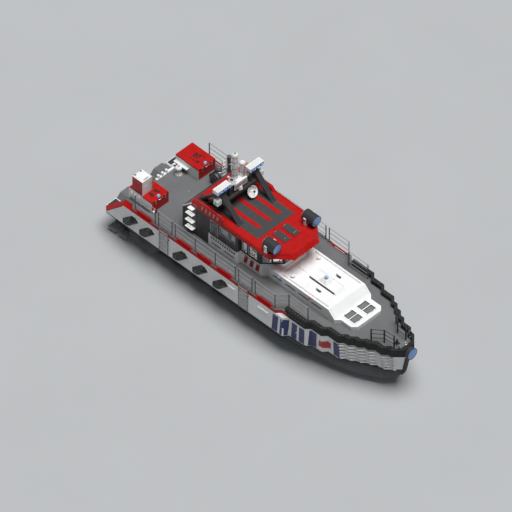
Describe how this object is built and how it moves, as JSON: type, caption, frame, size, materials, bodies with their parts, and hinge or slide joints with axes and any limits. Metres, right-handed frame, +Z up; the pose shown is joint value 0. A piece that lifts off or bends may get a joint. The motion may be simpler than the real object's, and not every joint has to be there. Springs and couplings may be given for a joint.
{
  "type": "search and rescue vessel",
  "caption": "Search and rescue vessel with a faceted hull, hollow wheelhouse, mast arch, searchlights, deck rails with gates, lidded deck boxes, a foredeck house, propellers and rudders.",
  "frame": {"origin": "on the centreline at the waterline, amidships", "axes": "+X forward, +Y to port, +Z up"},
  "size_m": [20.35, 6.25, 8],
  "materials": {
    "hull_bottom": "dull dark bottom paint",
    "hull_topsides": "satin white",
    "sheer_belt": "satin red",
    "weather_deck": "non-slip grey",
    "bow_band": "dull black rubber",
    "cabin_base": "satin white",
    "cabin_upper": "satin dark grey",
    "wheelhouse_roof": "satin red",
    "foredeck_house": "satin white",
    "helm_console": "matt grey",
    "helm_seats": "brown grey cloth",
    "cabin_ladder": "satin white",
    "exhaust_stack": "dull dark grey",
    "mushroom_vent": "dull grey",
    "deck_box_starboard": "satin white",
    "deck_box_port": "satin white",
    "raft_locker": "satin red",
    "stern_rollers": "satin white",
    "reel_frame": "satin dark grey",
    "mast_arch": "satin dark grey",
    "mast_posts": "satin white",
    "light_bar_starboard": "satin white",
    "light_bar_port": "satin white",
    "rails_starboard": "dull steel",
    "rails_port": "dull steel",
    "bow_rail_starboard": "satin dark grey",
    "bow_rail_port": "satin dark grey",
    "bow_bitts": "satin white",
    "cabin_door": "satin white",
    "skylight_starboard": "satin white",
    "skylight_port": "satin white",
    "box_lid_starboard": "satin red",
    "box_lid_port": "satin red",
    "raft_locker_lid": "satin white",
    "capstan": "satin white",
    "reel_drum": "dull grey",
    "radar_scanner": "gloss white",
    "roof_dish": "satin white",
    "lamp_yoke_starboard": "satin white",
    "lamp_yoke_port": "satin white",
    "searchlight_starboard": "satin dark grey",
    "searchlight_port": "satin dark grey",
    "searchlight_bow": "satin dark grey",
    "gate_starboard_1": "dull steel",
    "gate_starboard_2": "dull steel",
    "gate_port_1": "dull steel",
    "gate_port_2": "dull steel",
    "propeller_starboard": "bronze",
    "propeller_port": "bronze",
    "rudder_starboard": "dull dark",
    "rudder_port": "dull dark"
  },
  "bodies": {
    "hull": {"hull_bottom": "hull_bottom", "hull_topsides": "hull_topsides", "sheer_belt": "sheer_belt", "weather_deck": "weather_deck", "bow_band": "bow_band", "cabin_base": "cabin_base", "cabin_upper": "cabin_upper", "wheelhouse_roof": "wheelhouse_roof", "foredeck_house": "foredeck_house", "helm_console": "helm_console", "helm_seats": "helm_seats", "cabin_ladder": "cabin_ladder", "exhaust_stack": "exhaust_stack", "mushroom_vent": "mushroom_vent", "deck_box_starboard": "deck_box_starboard", "deck_box_port": "deck_box_port", "raft_locker": "raft_locker", "stern_rollers": "stern_rollers", "reel_frame": "reel_frame", "mast_arch": "mast_arch", "mast_posts": "mast_posts", "light_bar_starboard": "light_bar_starboard", "light_bar_port": "light_bar_port", "rails_starboard": "rails_starboard", "rails_port": "rails_port", "bow_rail_starboard": "bow_rail_starboard", "bow_rail_port": "bow_rail_port", "bow_bitts": "bow_bitts", "searchlight_bow": "searchlight_bow"},
    "cabin_door": {"cabin_door": "cabin_door"},
    "skylight_starboard": {"skylight_starboard": "skylight_starboard"},
    "skylight_port": {"skylight_port": "skylight_port"},
    "box_lid_starboard": {"box_lid_starboard": "box_lid_starboard"},
    "box_lid_port": {"box_lid_port": "box_lid_port"},
    "raft_locker_lid": {"raft_locker_lid": "raft_locker_lid"},
    "capstan": {"capstan": "capstan"},
    "reel_drum": {"reel_drum": "reel_drum"},
    "radar_scanner": {"radar_scanner": "radar_scanner"},
    "roof_dish": {"roof_dish": "roof_dish"},
    "lamp_yoke_starboard": {"lamp_yoke_starboard": "lamp_yoke_starboard"},
    "lamp_yoke_port": {"lamp_yoke_port": "lamp_yoke_port"},
    "searchlight_starboard": {"searchlight_starboard": "searchlight_starboard"},
    "searchlight_port": {"searchlight_port": "searchlight_port"},
    "gate_starboard_1": {"gate_starboard_1": "gate_starboard_1"},
    "gate_starboard_2": {"gate_starboard_2": "gate_starboard_2"},
    "gate_port_1": {"gate_port_1": "gate_port_1"},
    "gate_port_2": {"gate_port_2": "gate_port_2"},
    "propeller_starboard": {"propeller_starboard": "propeller_starboard"},
    "propeller_port": {"propeller_port": "propeller_port"},
    "rudder_starboard": {"rudder_starboard": "rudder_starboard"},
    "rudder_port": {"rudder_port": "rudder_port"}
  },
  "joints": [
    {"name": "cabin_door_hinge", "type": "hinge", "parent": "hull", "child": "cabin_door", "pos_m": [-5.125, -0.3747, 1.775], "axis": [0, 0, 1], "range_deg": [0, 110]},
    {"name": "skylight_starboard_hinge", "type": "hinge", "parent": "hull", "child": "skylight_starboard", "pos_m": [5.8378, -0.49375, 2.015], "axis": [0, -1, 0], "range_deg": [0, 100]},
    {"name": "skylight_port_hinge", "type": "hinge", "parent": "hull", "child": "skylight_port", "pos_m": [5.8378, 0.49375, 2.015], "axis": [0, -1, 0], "range_deg": [0, 100]},
    {"name": "box_lid_starboard_hinge", "type": "hinge", "parent": "hull", "child": "box_lid_starboard", "pos_m": [-7.8, -2.375, 2.4128], "axis": [1, 0, 0], "range_deg": [0, 100]},
    {"name": "box_lid_port_hinge", "type": "hinge", "parent": "hull", "child": "box_lid_port", "pos_m": [-7.8, 2.375, 2.4128], "axis": [-1, 0, 0], "range_deg": [0, 100]},
    {"name": "raft_locker_lid_hinge", "type": "hinge", "parent": "hull", "child": "raft_locker_lid", "pos_m": [-8.4, -2.0125, 3.4003], "axis": [0, -1, 0], "range_deg": [0, 100]},
    {"name": "capstan_spin", "type": "hinge", "parent": "hull", "child": "capstan", "pos_m": [-8, 0.7, 1.7503], "axis": [0, 0, 1], "continuous": true},
    {"name": "reel_spin", "type": "hinge", "parent": "hull", "child": "reel_drum", "pos_m": [-6.125, 1.5875, 2.15], "axis": [0, 1, 0], "continuous": true},
    {"name": "radar_spin", "type": "hinge", "parent": "hull", "child": "radar_scanner", "pos_m": [-2.6875, 0, 4.9253], "axis": [0, 0, 1], "continuous": true},
    {"name": "dish_pan", "type": "hinge", "parent": "hull", "child": "roof_dish", "pos_m": [-2.525, 0.65, 4.0003], "axis": [0, 0, 1], "range_deg": [-170, 170]},
    {"name": "lamp_pan_starboard", "type": "hinge", "parent": "hull", "child": "lamp_yoke_starboard", "pos_m": [1.025, -1.475, 4.0003], "axis": [0, 0, 1], "range_deg": [-170, 170]},
    {"name": "lamp_tilt_starboard", "type": "hinge", "parent": "lamp_yoke_starboard", "child": "searchlight_starboard", "pos_m": [1.025, -1.475, 4.4125], "axis": [0, -1, 0], "range_deg": [-5, 12]},
    {"name": "lamp_pan_port", "type": "hinge", "parent": "hull", "child": "lamp_yoke_port", "pos_m": [1.025, 1.475, 4.0003], "axis": [0, 0, 1], "range_deg": [-170, 170]},
    {"name": "lamp_tilt_port", "type": "hinge", "parent": "lamp_yoke_port", "child": "searchlight_port", "pos_m": [1.025, 1.475, 4.4125], "axis": [0, -1, 0], "range_deg": [-5, 12]},
    {"name": "gate_starboard_1_hinge", "type": "hinge", "parent": "hull", "child": "gate_starboard_1", "pos_m": [-6.025, -2.775, 1.7853], "axis": [0, 0, 1], "range_deg": [0, 90]},
    {"name": "gate_starboard_2_hinge", "type": "hinge", "parent": "hull", "child": "gate_starboard_2", "pos_m": [-0.025, -2.775, 1.7853], "axis": [0, 0, 1], "range_deg": [0, 90]},
    {"name": "gate_port_1_hinge", "type": "hinge", "parent": "hull", "child": "gate_port_1", "pos_m": [-6.025, 2.775, 1.7853], "axis": [0, 0, -1], "range_deg": [0, 90]},
    {"name": "gate_port_2_hinge", "type": "hinge", "parent": "hull", "child": "gate_port_2", "pos_m": [-0.025, 2.775, 1.7853], "axis": [0, 0, -1], "range_deg": [0, 90]},
    {"name": "propeller_port_spin", "type": "hinge", "parent": "hull", "child": "propeller_port", "pos_m": [-8.85, 1.15, -0.8125], "axis": [1, 0, 0], "continuous": true},
    {"name": "rudder_port_turn", "type": "hinge", "parent": "hull", "child": "rudder_port", "pos_m": [-9.6, 1.15, -0.4753], "axis": [0, 0, 1], "range_deg": [-35, 35]},
    {"name": "propeller_starboard_spin", "type": "hinge", "parent": "hull", "child": "propeller_starboard", "pos_m": [-8.85, -1.15, -0.8125], "axis": [1, 0, 0], "continuous": true},
    {"name": "rudder_starboard_turn", "type": "hinge", "parent": "hull", "child": "rudder_starboard", "pos_m": [-9.6, -1.15, -0.4753], "axis": [0, 0, 1], "range_deg": [-35, 35]}
  ],
  "couplings": [
    {"joint": "rudder_starboard_turn", "follows": "rudder_port_turn", "ratio": 1}
  ]
}
